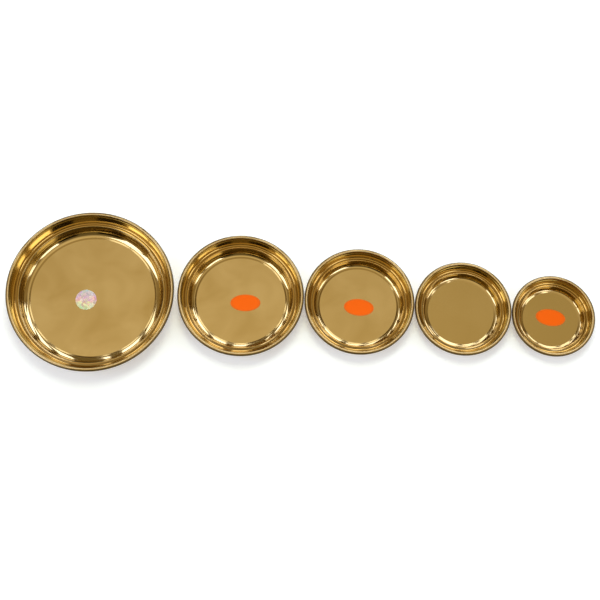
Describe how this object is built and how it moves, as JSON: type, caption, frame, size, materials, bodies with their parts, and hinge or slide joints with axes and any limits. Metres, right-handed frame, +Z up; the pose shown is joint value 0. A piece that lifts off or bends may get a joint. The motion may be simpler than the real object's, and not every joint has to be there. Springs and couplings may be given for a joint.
{
  "type": "thali plate set",
  "caption": "Graded set of round brass thali plates in a row, each spun with a flat floor, rounded heel, stepped wall with a ledge and curled rim; plain labels inside.",
  "frame": {"origin": "on the table, at the middle of the row's bounding box", "axes": "+X along the row, from the largest plate to the smallest; +Y across the row, away from the viewer; +Z up, square to the plates' floors"},
  "size_m": [1.0696, 0.3, 0.0425],
  "materials": {
    "brass": "polished, with a satin floor",
    "foil_label": "iridescent silver foil",
    "orange_label": "bright orange coated paper"
  },
  "bodies": {
    "largest_plate": {"largest_plate": "brass", "round_label": "foil_label"},
    "second_plate": {"second_plate": "brass", "second_label": "orange_label"},
    "third_plate": {"third_plate": "brass", "third_label": "orange_label"},
    "fourth_plate": {"fourth_plate": "brass"},
    "smallest_plate": {"smallest_plate": "brass", "smallest_label": "orange_label"}
  },
  "joints": [
    {"name": "second_lift", "type": "slide", "parent": "largest_plate", "child": "second_plate", "axis": [0, 0, 1], "range_m": [0, 0.1]},
    {"name": "third_lift", "type": "slide", "parent": "largest_plate", "child": "third_plate", "axis": [0, 0, 1], "range_m": [0, 0.1]},
    {"name": "fourth_lift", "type": "slide", "parent": "largest_plate", "child": "fourth_plate", "axis": [0, 0, 1], "range_m": [0, 0.1]},
    {"name": "smallest_lift", "type": "slide", "parent": "largest_plate", "child": "smallest_plate", "axis": [0, 0, 1], "range_m": [0, 0.1]}
  ]
}
